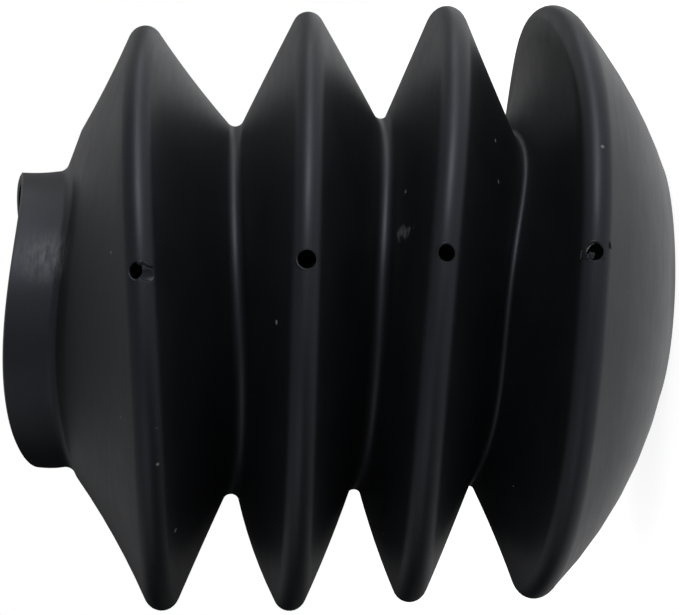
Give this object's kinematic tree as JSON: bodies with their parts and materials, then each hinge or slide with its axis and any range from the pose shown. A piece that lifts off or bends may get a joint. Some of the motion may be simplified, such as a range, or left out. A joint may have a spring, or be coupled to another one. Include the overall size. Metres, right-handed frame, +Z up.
{
  "type": "bellows boot",
  "caption": "Soft moulded bellows boot: deep round folds, a small vent in every crest, a short cuff at one end and a plain round opening at the other; it keeps dirt off a sliding rod.",
  "frame": {"origin": "centre of the round opening in the flat end, in the plane of the end's outer face", "axes": "+Z up from the flat end towards the cuff, square to the flat end; the row of vents faces -Y; the folds drift a little towards -X as they rise"},
  "size_m": [0.1061, 0.1025, 0.1114],
  "materials": {
    "rubber": "satin moulded black rubber"
  },
  "bodies": {
    "root": {"bellows_boot": "rubber"}
  },
  "joints": []
}
